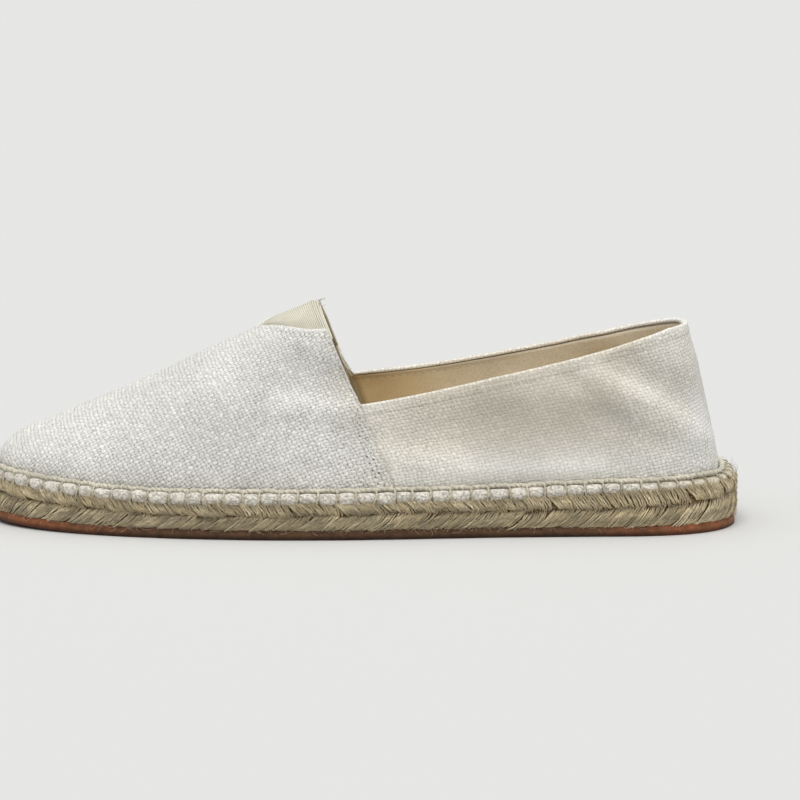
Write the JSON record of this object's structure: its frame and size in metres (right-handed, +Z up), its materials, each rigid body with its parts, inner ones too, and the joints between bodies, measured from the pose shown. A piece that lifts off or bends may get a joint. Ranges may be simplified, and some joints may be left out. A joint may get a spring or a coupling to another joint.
{
  "type": "espadrille",
  "caption": "Slip-on canvas espadrille for the left foot, with an elastic gusset at the throat and a plaited jute sole on rubber.",
  "frame": {"origin": "centre of the footprint, on the floor", "axes": "+X to the toe, +Y to the outer side of the left foot, +Z up"},
  "size_m": [0.28, 0.0942, 0.0832],
  "materials": {
    "rubber": "matt",
    "jute": "coarse plaited yarn",
    "hem": "rolled canvas edge",
    "sock": "tan twill",
    "canvas": "coarse plain weave",
    "elastic": "ribbed elastic"
  },
  "bodies": {
    "root": {"outsole": "rubber", "midsole": "jute", "hem": "hem", "insole": "sock", "upper": "canvas", "gusset": "elastic"}
  },
  "joints": []
}
